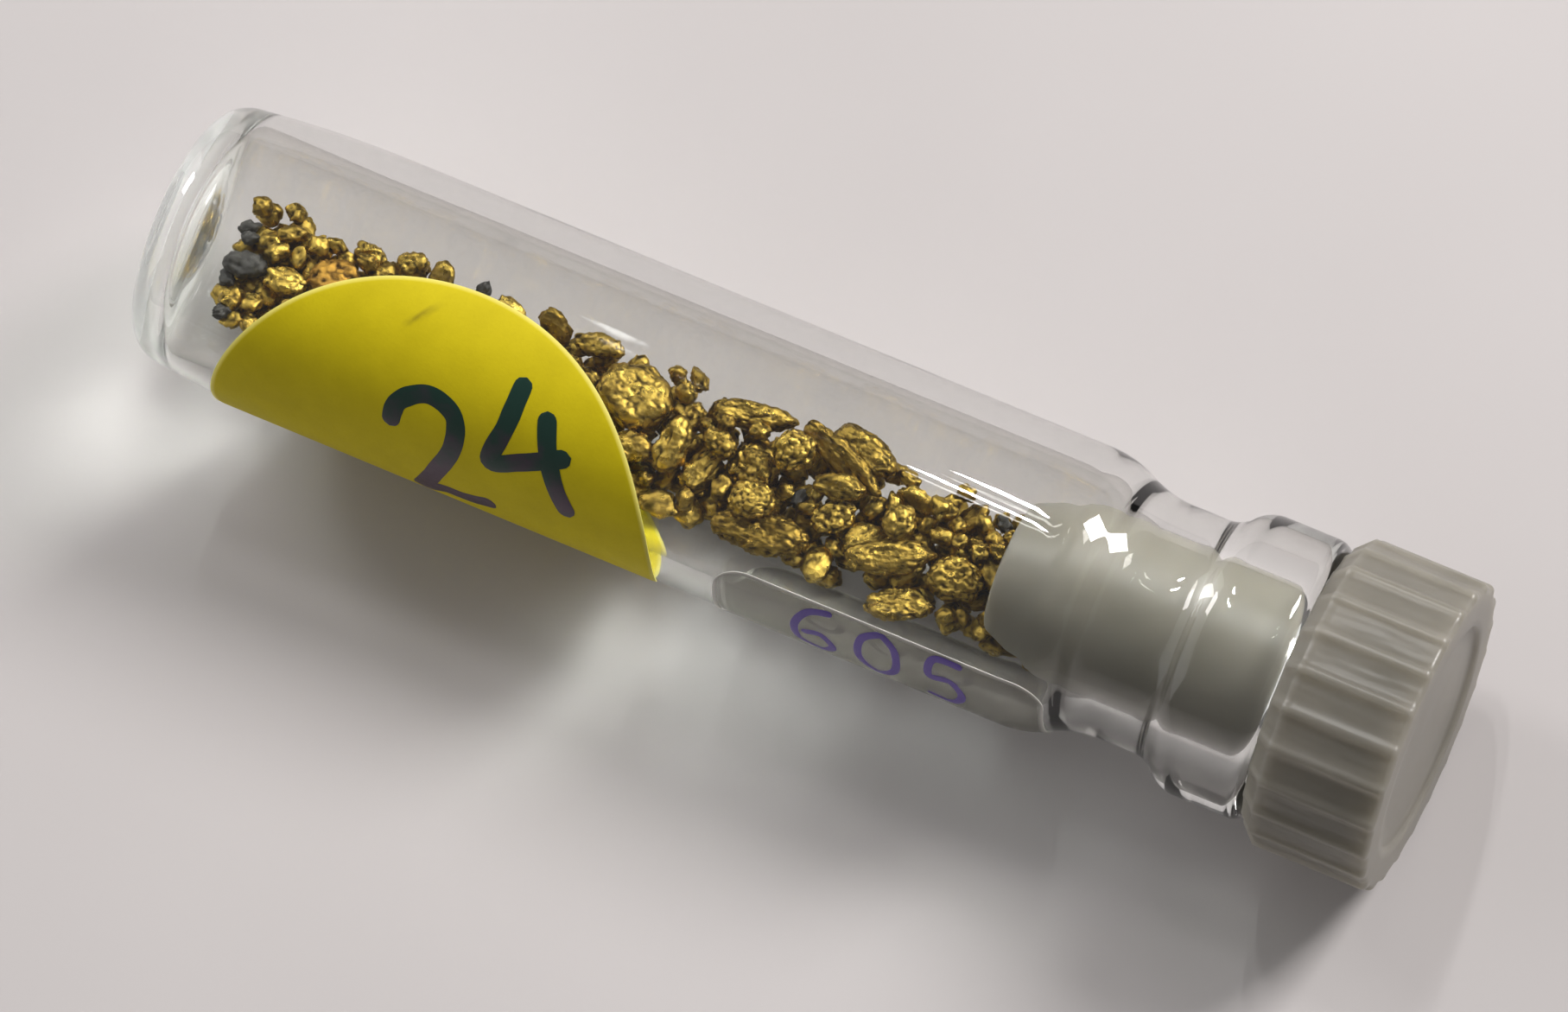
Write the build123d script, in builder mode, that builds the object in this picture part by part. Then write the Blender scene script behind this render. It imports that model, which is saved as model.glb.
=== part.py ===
"""A gold sample vial: a small necked glass vial lying on its side, closed by a fluted polyethylene
plug stopper, with a round paper dot and a strip of tape stuck on it and a layer of placer gold inside.

Units are millimetres. +X runs along the vial's axis from its base to the stopper, +Z is up, and the
origin is on the surface that the vial lies on, under the middle of its length. Distances along the
axis are measured from the base of the glass and are called stations. Bearings are degrees round the
axis, from the side that faces -Y upwards.
"""

import math
import os
import random
from typing import NamedTuple

import numpy as np
from build123d import *

# Glass vial, outside
vial_length = 47.9
body_radius = 5.75
heel_radius = 1.4
heel_edge = 5.17  # where the base plane and the heel's taper would meet
taper_end = 7.5  # the body narrows slightly from here to the base
shoulder_start = 37.6
neck_start = 41.5
neck_end = 42.9
neck_radius = 4.85
lip_start = 45.0
lip_radius = 5.78
lip_corner = 0.7

# Glass vial, inside
bore_radius = 3.58
inner_radius = 4.78
floor_thickness = 0.75
inner_heel_radius = 1.5
inner_shoulder_start = 38.0
inner_neck_start = 41.0
mouth_rounding = 0.45
punt_radius = 3.2  # the hollow under the base, and the dome above it inside
punt_depth = 1.0
dome_height = 1.0

# Plug stopper
head_gap = 0.1  # between the lip and the underside of the head
head_radius = 6.37
head_length = 5.4
head_chamfer = 0.65
head_rounding = 0.25
flute_count = 24
flute_depth = 0.22
flute_radius = 1.05
recess_radius = 4.7
recess_depth = 0.2
plug_length = 12.2
plug_radius = 3.54
plug_tip_radius = 2.68
plug_taper_length = 2.2
tip_rounding = 0.2
hollow_radius = 2.0
hollow_depth = 13.5

# Labels
adhesive = 0.01  # gap between each label and the glass
dot_diameter = 19.05
dot_thickness = 0.1
dot_station = 13.62
dot_bearing = 2.0
dot_outline_points = 24
tape_length = 13.8
tape_width = 9.0
tape_thickness = 0.06
tape_station = 32.6
tape_bearing = -13.5
tape_corner = 1.5

# Gold
gold_seed = 11
grid_step = 0.1  # spacing of the height map that the gold is dropped on
gold_clearance = 0.04  # added all round each piece when it is dropped
plug_clearance = 0.25
pile_edges = (-2.8, 3.1)  # how far the small pieces lie to each side of the axis
pile_middle = 0.2
bevel_of_thickness = 0.3
bevel_of_width = 0.13
corner_shift = 0.22  # how unevenly the corners of a piece are spaced, in radians
picker_corners = 7
picker_tries = 24
picker_shift = 0.15  # how far a large piece may settle from its own spot
picker_sway = 13  # the most that it may tip either way, in degrees
picker_lean = 6  # how much it leans with the wall of the vial, in degrees to a millimetre
small_sway = 25
small_lean = 9

# Worked out from the driving dimensions
head_station = vial_length + head_gap
overall_length = head_station + head_length
tip_station = head_station - plug_length
dome_top = floor_thickness + dome_height
base_x = -overall_length / 2
axis_height = head_radius
vial_axis = Axis((base_x, 0, axis_height), (1, 0, 0))


class Picker(NamedTuple):
    """A large piece of gold: where it lies, its size and how far its long side is turned from +X."""

    station: float
    offset: float
    length: float
    width: float
    thickness: float
    turn: float


class Small(NamedTuple):
    """One kind of small piece: how many, the ranges of its sizes, its corners and the spots tried."""

    count: int
    length: tuple
    width: tuple
    thickness: tuple
    corners: int
    tries: int


class Shape(NamedTuple):
    """One piece of gold before it is placed: a bevelled slab with an irregular outline."""

    outline: list
    half_thickness: float
    bevel: float


class Placed(NamedTuple):
    """A piece of gold where it has come to rest."""

    shape: Shape
    centre: tuple
    turned: np.ndarray


pickers = (
    Picker(18.9, 1.05, 3.3, 2.8, 1.3, -14),
    Picker(23.5, 2.27, 3.5, 1.1, 0.8, 14),
    Picker(28.2, 2.87, 3.2, 1.6, 0.9, -18),
    Picker(27.6, 1.97, 4.4, 1.2, 0.4, -24),
    Picker(25.9, 1.57, 1.8, 1.6, 0.9, 30),
    Picker(24.4, 0.37, 2.1, 1.9, 0.9, -30),
    Picker(21.3, -0.13, 2.5, 1.3, 0.9, 85),
    Picker(22.5, -0.43, 2.3, 1.2, 0.8, 70),
    Picker(25.8, -2.03, 4.2, 1.9, 0.9, 10),
    Picker(24.9, -0.93, 1.9, 1.6, 0.7, 0),
    Picker(19.8, -0.73, 1.7, 1.2, 0.7, 20),
    Picker(23, 0.77, 1.5, 1.0, 0.6, -15),
    Picker(28, -0.33, 1.8, 1.2, 0.7, 40),
    Picker(27.8, 0.67, 2.2, 1.0, 0.6, 12),
    Picker(29.6, -0.83, 1.9, 1.4, 0.7, 35),
    Picker(30.7, -1.03, 3.9, 1.4, 0.5, 26),
    Picker(30.9, 0.17, 1.4, 1.1, 0.7, 75),
    Picker(33.4, -0.63, 2.2, 1.9, 0.9, 5),
    Picker(31.7, -2.53, 2.9, 1.5, 0.5, 24),
    Picker(33.6, 0.77, 1.3, 0.6, 0.5, -8),
    Picker(16.9, 2.67, 2.2, 1.0, 0.6, 8),
    Picker(4.4, 0.17, 1.6, 1.1, 0.8, 12),
    Picker(8.4, 2.77, 1.3, 1.0, 0.8, 30),
    Picker(6.8, 2.57, 1.2, 0.8, 0.7, 0),
)
dark_stone = Picker(2.8, 0.22, 1.5, 1.0, 0.8, 15)
stained_piece = Picker(5.9, 1.17, 2.1, 1.5, 0.8, 35)
dark_chip = Picker(11.4, 2.97, 1.2, 0.5, 0.45, 85)
coarse_gold = Small(225, (0.8, 1.5), (0.7, 1.1), (0.3, 0.5), 6, 10)
gold_flakes = Small(40, (1.1, 1.9), (0.8, 1.2), (0.22, 0.35), 6, 10)
gold_grains = Small(120, (0.6, 1.0), (0.5, 0.7), (0.3, 0.5), 5, 14)
black_sand = Small(12, (0.4, 0.6), (0.35, 0.45), (0.25, 0.35), 5, 14)


def profile_plane(bearing):
    """A plane through the vial's axis: local X is the station and local Y is the radius."""
    across = math.radians(bearing)
    return Plane(
        (base_x, 0, axis_height), x_dir=(1, 0, 0), z_dir=(0, -math.sin(across), -math.cos(across))
    )


def cross_plane(station):
    """The plane across the vial at a station. Its local X points up and its normal along the axis."""
    return Plane((base_x + station, 0, axis_height), x_dir=(0, 0, 1), z_dir=(1, 0, 0))


def outward(bearing):
    """The unit direction from the vial's axis at a bearing."""
    across = math.radians(bearing)
    return Vector(0, -math.cos(across), math.sin(across))


def s_curve(start, end):
    """Two arcs that leave start and reach end parallel to the vial's axis."""
    middle = ((start[0] + end[0]) / 2, (start[1] + end[1]) / 2)
    TangentArc(start, middle, tangent=(1, 0))
    TangentArc(end, middle, tangent=(-1, 0))


def round_corner(sketch, station, radius, rounding):
    """Fillet a profile's corner nearest to a station and radius."""
    fillet(sketch.vertices().sort_by_distance((station, radius, 0))[0], rounding)


def build_glass():
    """The vial: its outer form, with a punt under the base, less the space inside."""
    plane = profile_plane(90)
    taper_rise = body_radius - heel_edge
    taper_radius = (taper_end**2 + taper_rise**2) / (2 * taper_rise)
    mouth_start = vial_length - mouth_rounding
    with BuildPart() as glass:
        with BuildSketch(plane) as outside:
            with BuildLine():
                TangentArc((punt_depth, 0), (0, punt_radius), tangent=(0, 1))
                Line((0, punt_radius), (0, heel_edge))
                RadiusArc((0, heel_edge), (taper_end, body_radius), taper_radius)
                Line((taper_end, body_radius), (shoulder_start, body_radius))
                s_curve((shoulder_start, body_radius), (neck_start, neck_radius))
                Line((neck_start, neck_radius), (neck_end, neck_radius))
                s_curve((neck_end, neck_radius), (lip_start, lip_radius))
                Line((lip_start, lip_radius), (vial_length, lip_radius))
                Polyline((vial_length, lip_radius), (vial_length, 0), (punt_depth, 0))
            make_face()
            round_corner(outside, 0, heel_edge, heel_radius)
            round_corner(outside, vial_length, lip_radius, lip_corner)
        revolve(axis=vial_axis)
        with BuildSketch(plane) as inside:
            with BuildLine():
                TangentArc((dome_top, 0), (floor_thickness, punt_radius), tangent=(0, 1))
                Line((floor_thickness, punt_radius), (floor_thickness, inner_radius))
                Line((floor_thickness, inner_radius), (inner_shoulder_start, inner_radius))
                s_curve((inner_shoulder_start, inner_radius), (inner_neck_start, bore_radius))
                Line((inner_neck_start, bore_radius), (mouth_start, bore_radius))
                mouth_edge = (vial_length, bore_radius + mouth_rounding)
                TangentArc((mouth_start, bore_radius), mouth_edge, tangent=(1, 0))
                Polyline(mouth_edge, (vial_length, 0), (dome_top, 0))
            make_face()
            round_corner(inside, floor_thickness, inner_radius, inner_heel_radius)
        revolve(axis=vial_axis, mode=Mode.SUBTRACT)
    glass.part.label = "glass_vial"
    return glass


def build_stopper():
    """The plug stopper: a fluted head on a plain plug that is hollow from its tip."""
    plane = profile_plane(90)
    end_station = head_station + head_length
    with BuildPart() as stopper:
        with BuildSketch(plane) as section:
            with BuildLine():
                Polyline(
                    (tip_station, 0),
                    (tip_station, plug_tip_radius),
                    (tip_station + plug_taper_length, plug_radius),
                    (head_station, plug_radius),
                    (head_station, head_radius - head_chamfer),
                    (head_station + head_chamfer, head_radius),
                    (end_station, head_radius),
                    (end_station, 0),
                    close=True,
                )
            make_face()
            round_corner(section, tip_station, plug_tip_radius, tip_rounding)
            round_corner(section, end_station, head_radius, head_rounding)
        revolve(axis=vial_axis)
        with BuildSketch(cross_plane(head_station)):
            half_step = 180 / flute_count
            with PolarLocations(head_radius + flute_radius - flute_depth, flute_count, half_step):
                Circle(flute_radius)
        extrude(amount=head_length, mode=Mode.SUBTRACT)
        with BuildSketch(cross_plane(end_station)):
            Circle(recess_radius)
        extrude(amount=-recess_depth, taper=45, mode=Mode.SUBTRACT)
        with BuildSketch(cross_plane(tip_station)):
            Circle(hollow_radius)
        extrude(amount=hollow_depth, mode=Mode.SUBTRACT)
    stopper.part.label = "plug_stopper"
    return stopper


def build_dot():
    """The round paper label, wrapped round the body."""
    inside = body_radius + adhesive
    centre_x = base_x + dot_station

    def outline(radius):
        """The dot's edge at a distance from the axis."""
        points = []
        for step in range(dot_outline_points):
            angle = 2 * math.pi * step / dot_outline_points
            wrap = math.degrees(dot_diameter / 2 * math.sin(angle) / inside)
            point = outward(dot_bearing + wrap) * radius + Vector(0, 0, axis_height)
            points.append(point + Vector(centre_x + dot_diameter / 2 * math.cos(angle), 0, 0))
        return Edge.make_spline(points, periodic=True)

    edge_wall = Face.make_surface_from_curves(outline(inside - 1), outline(inside + 1))
    seam_plane = Plane((centre_x - dot_diameter, 0, axis_height), x_dir=(0, 1, 0), z_dir=(1, 0, 0))
    with BuildPart() as dot:
        with BuildSketch(seam_plane):
            Circle(inside + dot_thickness)
            Circle(inside, mode=Mode.SUBTRACT)
        extrude(amount=2 * dot_diameter)
        split(bisect_by=edge_wall, keep=Keep.BOTH)
        waste = dot.solids().sort_by(SortBy.VOLUME)[-1]
        add(waste, mode=Mode.SUBTRACT)
    dot.part.label = "dot_label"
    return dot


def build_tape():
    """The strip of clear tape, which runs a little way over the shoulder."""
    middle_radius = body_radius + adhesive + tape_thickness / 2
    shoulder_run = (neck_start - shoulder_start) / 2
    shoulder_drop = (body_radius - neck_radius) / 2
    shoulder_arc = (shoulder_run**2 + shoulder_drop**2) / (2 * shoulder_drop)
    before_tape = tape_station - tape_length
    half_wrap = tape_width / 2 / body_radius
    with BuildPart() as tape:
        with BuildSketch(profile_plane(tape_bearing + 90)):
            with BuildLine() as strip:
                Line((before_tape, middle_radius), (shoulder_start, middle_radius))
                CenterArc(
                    (shoulder_start, body_radius - shoulder_arc),
                    shoulder_arc + middle_radius - body_radius,
                    90,
                    -20,
                )
            trace(strip.line, line_width=tape_thickness)
        revolve(axis=vial_axis, revolution_arc=180)
        centre = Vector(base_x + tape_station, 0, axis_height)
        with BuildSketch(Plane(centre, x_dir=(1, 0, 0), z_dir=outward(tape_bearing))):
            chord = 2 * body_radius * math.sin(half_wrap)
            RectangleRounded(tape_length, chord, tape_corner)
        extrude(amount=2 * body_radius, mode=Mode.INTERSECT)
    tape.part.label = "tape_label"
    return tape


def make_shape(length, width, thickness, corners):
    """A slab whose outline has its corners on an ellipse, unevenly spaced."""
    step = 2 * math.pi / corners
    angles = [step * corner + random.uniform(-corner_shift, corner_shift) for corner in range(corners)]
    outline = [(length / 2 * math.cos(angle), width / 2 * math.sin(angle)) for angle in angles]
    bevel = min(bevel_of_thickness * thickness, bevel_of_width * width)
    return Shape(outline, thickness / 2, bevel)


def faces_of(shape):
    """The slab's faces as rows of unit normal and distance from its centre."""
    rows = [(0, 0, 1, shape.half_thickness), (0, 0, -1, shape.half_thickness)]
    shoulder = shape.half_thickness - shape.bevel
    for (x1, y1), (x2, y2) in zip(shape.outline, shape.outline[1:] + shape.outline[:1]):
        length = math.hypot(x2 - x1, y2 - y1)
        normal_x = (y2 - y1) / length
        normal_y = (x1 - x2) / length
        distance = normal_x * x1 + normal_y * y1
        rows.append((normal_x, normal_y, 0, distance))
        for side in (1, -1):
            bevel = np.array((normal_x, normal_y, side, distance + shoulder))
            rows.append(tuple(bevel / math.sqrt(2)))
    return np.array(rows)


def turning(turn, tilt_x, tilt_y):
    """The rotation that turns a slab about +Z and then tips it about X and Y, in degrees."""
    location = Rotation(tilt_x, tilt_y, 0) * Rotation(0, 0, turn)
    plane = Plane(location)
    return np.array([tuple(plane.x_dir), tuple(plane.y_dir), tuple(plane.z_dir)]).T


class Pile:
    """The gold in the vial, piece by piece, with the height of its top over a grid of the floor."""

    def __init__(self):
        stations = np.arange(floor_thickness, inner_shoulder_start, grid_step)
        offsets = np.arange(-inner_radius, inner_radius, grid_step)
        self.stations, self.offsets = np.meshgrid(stations, offsets, indexing="ij")
        heel = np.clip(floor_thickness + inner_heel_radius - self.stations, 0, inner_heel_radius)
        wall = inner_radius - inner_heel_radius + np.sqrt(inner_heel_radius**2 - heel**2)
        across = wall**2 - self.offsets**2
        self.top = np.where(across > 0, -np.sqrt(np.maximum(across, 0)), inner_radius)
        slope = (plug_radius - plug_tip_radius) / plug_taper_length
        beside = self.stations - tip_station + plug_clearance
        plug = np.minimum(plug_tip_radius + slope * beside, plug_radius) + plug_clearance
        under = plug**2 - self.offsets**2
        blocked = (beside > 0) & (under > 0)
        self.ceiling = np.where(blocked, -np.sqrt(np.maximum(under, 0)), inner_radius)
        self.pieces = []

    def land(self, shape, station, offset, turned):
        """Lower a slab onto the pile and return where it rests, or None if it doesn't fit there."""
        reach = max(math.hypot(x, y) for x, y in shape.outline) + shape.half_thickness + grid_step
        near_x = np.abs(self.stations[:, 0] - station) < reach
        near_y = np.abs(self.offsets[0] - offset) < reach
        window = np.ix_(near_x, near_y)
        faces = faces_of(shape)
        normals = faces[:, :3] @ turned.T
        x = self.stations[window] - station
        y = self.offsets[window] - offset
        top = np.full(x.shape, np.inf)
        bottom = np.full(x.shape, -np.inf)
        inside = np.ones(x.shape, bool)
        for (normal_x, normal_y, normal_z), distance in zip(normals, faces[:, 3] + gold_clearance):
            left = distance - normal_x * x - normal_y * y
            if abs(normal_z) < 1e-6:
                inside &= left >= 0
            elif normal_z > 0:
                top = np.minimum(top, left / normal_z)
            else:
                bottom = np.maximum(bottom, left / normal_z)
        inside &= top > bottom
        height = (self.top[window] - bottom)[inside].max()
        fits = (height + top < self.ceiling[window])[inside].all()
        return (height, top + height, inside, window) if fits else None

    def in_reach(self, shape, station):
        """Whether a slab at a station clears the dome on the floor and the start of the shoulder."""
        reach = max(math.hypot(x, y) for x, y in shape.outline) + 2 * gold_clearance
        return dome_top + reach < station < inner_shoulder_start - reach

    def drop(self, shape, places):
        """Try a slab at several places, each a station, offset and rotation, and keep the lowest."""
        best = None
        for station, offset, turned in places:
            if not self.in_reach(shape, station):
                continue
            landed = self.land(shape, station, offset, turned)
            if landed and (best is None or landed[0] < best[0][0]):
                best = (landed, station, offset, turned)
        if best is None:
            return None
        (height, top, inside, window), station, offset, turned = best
        self.top[window] = np.where(inside, np.maximum(self.top[window], top), self.top[window])
        placed = Placed(shape, (base_x + station, offset, axis_height + height), turned)
        self.pieces.append(placed)
        return placed

    def drop_picker(self, picker, corners=picker_corners):
        """Place a large piece close to its own spot, at the tilt that lets it lie lowest."""
        shape = make_shape(picker.length, picker.width, picker.thickness, corners)
        places = []
        for _ in range(picker_tries):
            station = picker.station + random.uniform(-picker_shift, picker_shift)
            offset = picker.offset + random.uniform(-picker_shift, picker_shift)
            lean = picker_lean * picker.offset + random.uniform(-picker_sway, picker_sway)
            turned = turning(picker.turn, lean, random.uniform(-picker_sway, picker_sway))
            places.append((station, offset, turned))
        return self.drop(shape, places)

    def drop_small(self, kind):
        """Place a small piece in the lowest of several random spots."""
        sizes = [random.uniform(*span) for span in (kind.length, kind.width, kind.thickness)]
        shape = make_shape(*sizes, kind.corners)
        places = []
        for _ in range(kind.tries):
            station = random.uniform(dome_top, inner_shoulder_start)
            offset = random.triangular(*pile_edges, pile_middle)
            lean = small_lean * offset + random.uniform(-small_sway, small_sway)
            turned = turning(random.uniform(0, 180), lean, random.uniform(-small_sway, small_sway))
            places.append((station, offset, turned))
        return self.drop(shape, places)


def drop_gold():
    """Fill the vial: coarse grains first, then the pickers, then flakes and fines between them."""
    random.seed(gold_seed)
    pile = Pile()
    groups = {"coarse_gold": [pile.drop_small(coarse_gold) for _ in range(coarse_gold.count)]}
    for number, picker in enumerate(pickers, start=1):
        groups[f"gold_picker_{number:02d}"] = [pile.drop_picker(picker)]
    groups["dark_stone"] = [pile.drop_picker(dark_stone)]
    groups["stained_gold"] = [pile.drop_picker(stained_piece)]
    groups["dark_chip"] = [pile.drop_picker(dark_chip, corners=5)]
    later = {"gold_flakes": gold_flakes, "gold_grains": gold_grains, "black_sand": black_sand}
    for name, kind in later.items():
        groups[name] = [pile.drop_small(kind) for _ in range(kind.count)]
    return groups


def build_slab(placed):
    """One piece of gold: its outline extruded both ways and bevelled round both flats."""
    plane = Plane(placed.centre, x_dir=tuple(placed.turned[:, 0]), z_dir=tuple(placed.turned[:, 2]))
    with BuildPart() as slab:
        with BuildSketch(plane):
            with BuildLine():
                Polyline(*placed.shape.outline, close=True)
            make_face()
        extrude(amount=placed.shape.half_thickness, both=True)
        flats = slab.faces().sort_by(Axis(plane.origin, plane.z_dir))
        chamfer(flats[0].edges() + flats[-1].edges(), placed.shape.bevel)
    return slab.part


def build_pieces(name, placed):
    """One node of gold, with each of its pieces a separate solid."""
    slabs = [build_slab(piece) for piece in placed]
    with BuildPart() as gold:
        add(slabs)
    gold.part.label = name
    return gold


os.makedirs("parts", exist_ok=True)
pieces = [build_glass(), build_stopper(), build_dot(), build_tape()]
for name, placed in drop_gold().items():
    pieces.append(build_pieces(name, [piece for piece in placed if piece]))
for piece in pieces:
    export_step(piece.part, f"parts/{piece.part.label}.step")
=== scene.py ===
import math
import random

import bmesh
import bpy
import numpy as np
from mathutils import Matrix, Vector, noise


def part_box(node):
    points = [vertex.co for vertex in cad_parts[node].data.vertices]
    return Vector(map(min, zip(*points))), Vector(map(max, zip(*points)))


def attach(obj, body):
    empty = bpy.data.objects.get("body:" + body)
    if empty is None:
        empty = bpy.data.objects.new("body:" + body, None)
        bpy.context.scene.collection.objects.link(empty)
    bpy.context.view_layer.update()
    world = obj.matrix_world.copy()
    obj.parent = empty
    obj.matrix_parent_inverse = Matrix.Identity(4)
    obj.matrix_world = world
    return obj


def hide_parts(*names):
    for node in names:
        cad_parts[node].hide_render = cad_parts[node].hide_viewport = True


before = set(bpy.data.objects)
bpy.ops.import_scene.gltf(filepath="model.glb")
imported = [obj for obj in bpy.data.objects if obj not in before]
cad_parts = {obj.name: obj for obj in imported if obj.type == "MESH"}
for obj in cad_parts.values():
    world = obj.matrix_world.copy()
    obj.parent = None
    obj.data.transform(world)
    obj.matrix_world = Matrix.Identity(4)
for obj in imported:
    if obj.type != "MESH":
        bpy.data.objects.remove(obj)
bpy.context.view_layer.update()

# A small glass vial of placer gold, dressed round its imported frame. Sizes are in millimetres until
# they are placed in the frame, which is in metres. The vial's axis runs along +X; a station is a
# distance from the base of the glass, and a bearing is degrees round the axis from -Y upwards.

MM = 0.001
glass_low, glass_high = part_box("glass_vial")
head_low, head_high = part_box("plug_stopper")
BASE_X = glass_low[0] / MM
AXIS_Z = (head_low[2] + head_high[2]) / 2 / MM

# Glass vial
LENGTH = (glass_high[0] - glass_low[0]) / MM
BODY_R = 5.75
TAPER_END = 7.5
SHOULDER = (37.6, 41.5)
NECK_R = 4.85
LIP = (42.9, 45.0)
LIP_R = 5.78
INNER_R = 4.78
BORE_R = 3.58
INNER_SHOULDER = (38.0, 41.0)
HEEL = 1.4
FLOOR = 0.75
PUNT_R = 3.2
PUNT = 1.0
DOME = 1.0

# Plug stopper
HEAD_R = (head_high[2] - head_low[2]) / 2 / MM
HEAD = (LENGTH + 0.1, (head_high[0] - glass_low[0]) / MM)
TIP = (head_low[0] - glass_low[0]) / MM
PLUG_R = 3.54
TIP_R = 2.68
TAPER = 2.2
HOLLOW_R = 2.0
HOLLOW = 13.5
RECESS_R = 4.7
RECESS = 0.2
FLUTES = 24
FLUTE_DEPTH = 0.22

# Labels
GLUE = 0.01
DOT_R = 19.05 / 2
DOT_STATION = 13.62
DOT_BEARING = 2.0
DOT_INSIDE = BODY_R + GLUE
DOT_THICK = 0.1
INK_ROOM = 0.045  # how far the paper's face lies under the CAD dot's, to leave room for the ink
TAPE_STATION = 32.6
TAPE_BEARING = -13.5
TAPE_LENGTH = 13.8
TAPE_WIDTH = 9.0
TAPE_THICK = 0.06

# Gold
DRESSED = ("glass_vial", "plug_stopper", "dot_label", "tape_label")
LOOSE = ("coarse_gold", "gold_flakes", "gold_grains", "black_sand")
SMOOTH = {f"gold_picker_{n:02d}" for n in (1, 2, 3, 4, 16)}
BIG = {f"gold_picker_{n:02d}" for n in (1, 2, 3, 4, 5, 6, 9, 10, 13, 16, 18, 19)}
SLOTS = {
    "stained_gold": "stained_gold",
    "dark_stone": "dark_stone",
    "dark_chip": "dark_stone",
    "black_sand": "dark_stone",
}

# Camera
FIELD = 60.7  # millimetres across the picture at the vial
TO_CAMERA = Vector((0.2, -0.22, 0.955)).normalized()
TILT = 22.4  # how far the vial's axis falls to the right in the picture, in degrees
CENTRE = (26.55, 1.19)  # station, and millimetres below the axis, at the picture's centre
DISTANCE = 500.0

# Soft studio lights: direction from the vial, distance, width and height, and power. The lamps make
# the twin streaks along the glass, and the cards fill what its thick ends bend into view.
WARM_WHITE = (1.0, 0.97, 0.96)
WHITE = (1.0, 1.0, 1.0)
SOFTBOXES = (
    ("key", (0.5, 0.75, 0.75), 420, (120, 120), 1.75, WARM_WHITE),
    ("base_end", (-0.85, 0.35, 0.6), 420, (110, 110), 0.45, WARM_WHITE),
    ("lamp_one", (-0.156, 0.58, 0.8), 400, (3.5, 40), 0.15, WHITE),
    ("lamp_two", (-0.156, 0.42, 0.88), 400, (3.5, 50), 0.15, WHITE),
    ("base_card", (-1.0, 0.0, 0.35), 330, (480, 280), 0.38, WHITE),
    ("head_card", (1.0, 0.15, 0.28), 330, (420, 230), 0.13, WHITE),
)
SKY = (1.0, 0.96, 0.95)
SKY_STRENGTH = 0.16
FLOOR_HALF = 2.0  # metres


# ---- helpers ---------------------------------------------------------------------------------


def make_object(name, points, faces, body, slot, replaced=()):
    """A mesh object from points in millimetres in the frame, riding on a CAD body."""
    mesh = bpy.data.meshes.new(name)
    mesh.from_pydata([tuple(MM * c for c in p) for p in points], [], faces)
    mesh.validate()
    mesh.update()
    mesh.polygons.foreach_set("use_smooth", [True] * len(mesh.polygons))
    piece = bpy.data.objects.new(name, mesh)
    bpy.context.scene.collection.objects.link(piece)
    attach(piece, body)
    if replaced:
        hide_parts(*replaced)
    return piece


def store(piece, name, values):
    """Keep a number for each of a piece's points, for its material to read."""
    attribute = piece.data.attributes.new(name, "FLOAT", "POINT")
    attribute.data.foreach_set("value", values)


def around(station, radius, bearing):
    """A point in the frame, in millimetres, from its station, radius and bearing in degrees."""
    angle = math.radians(bearing)
    return (BASE_X + station, -radius * math.cos(angle), AXIS_Z + radius * math.sin(angle))


def arc(centre, radius, start, end, steps):
    """Points on an arc of a profile, from one angle to another in degrees."""
    angles = [math.radians(start + (end - start) * step / steps) for step in range(steps + 1)]
    return [(centre[0] + radius * math.cos(a), centre[1] + radius * math.sin(a)) for a in angles]


def run(start, end, steps):
    """Evenly spaced points from start to end."""
    return [
        (start[0] + (end[0] - start[0]) * k / steps, start[1] + (end[1] - start[1]) * k / steps)
        for k in range(steps + 1)
    ]


def s_curve(start, end, steps):
    """Points on the two arcs that join start to end, parallel to the axis at both."""
    half_run = (end[0] - start[0]) / 2
    half_drop = (start[1] - end[1]) / 2
    radius = (half_run**2 + half_drop**2) / (2 * abs(half_drop))
    points = []
    for step in range(steps + 1):
        x = half_run * 2 * step / steps
        near = x if x < half_run else 2 * half_run - x
        bend = math.copysign(radius - math.sqrt(radius**2 - near**2), half_drop)
        points.append((start[0] + x, start[1] - bend if x < half_run else end[1] + bend))
    return points


def cap(radius, height):
    """The radius of the sphere that a shallow cap is cut from, and the cap's half angle."""
    whole = (radius**2 + height**2) / (2 * height)
    return whole, math.degrees(math.asin(radius / whole))


def thin_out(profile):
    """Drop the repeated points where two stretches of a profile meet."""
    kept = [profile[0]]
    for point in profile[1:]:
        if math.dist(point, kept[-1]) > 1e-5:
            kept.append(point)
    return kept


def turned(name, profile, body, slot, replaced, radius_at, count):
    """A solid turned in this many steps from a profile that starts and ends on the axis."""
    rings = thin_out(profile)[1:-1]
    points = [around(profile[0][0], 0, 0)]
    for station, radius in rings:
        for k in range(count):
            bearing = 360 * k / count
            points.append(around(station, radius_at(station, radius, bearing), bearing))
    points.append(around(profile[-1][0], 0, 0))
    pairs = [(k, (k + 1) % count) for k in range(count)]
    faces = [(0, 1 + k, 1 + after) for k, after in pairs]
    for i in range(len(rings) - 1):
        a = 1 + i * count
        faces += [(a + k, a + count + k, a + count + after, a + after) for k, after in pairs]
    tail = 1 + (len(rings) - 1) * count
    faces += [(tail + k, len(points) - 1, tail + after) for k, after in pairs]
    return make_object(name, points, faces, body, slot, replaced)


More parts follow.
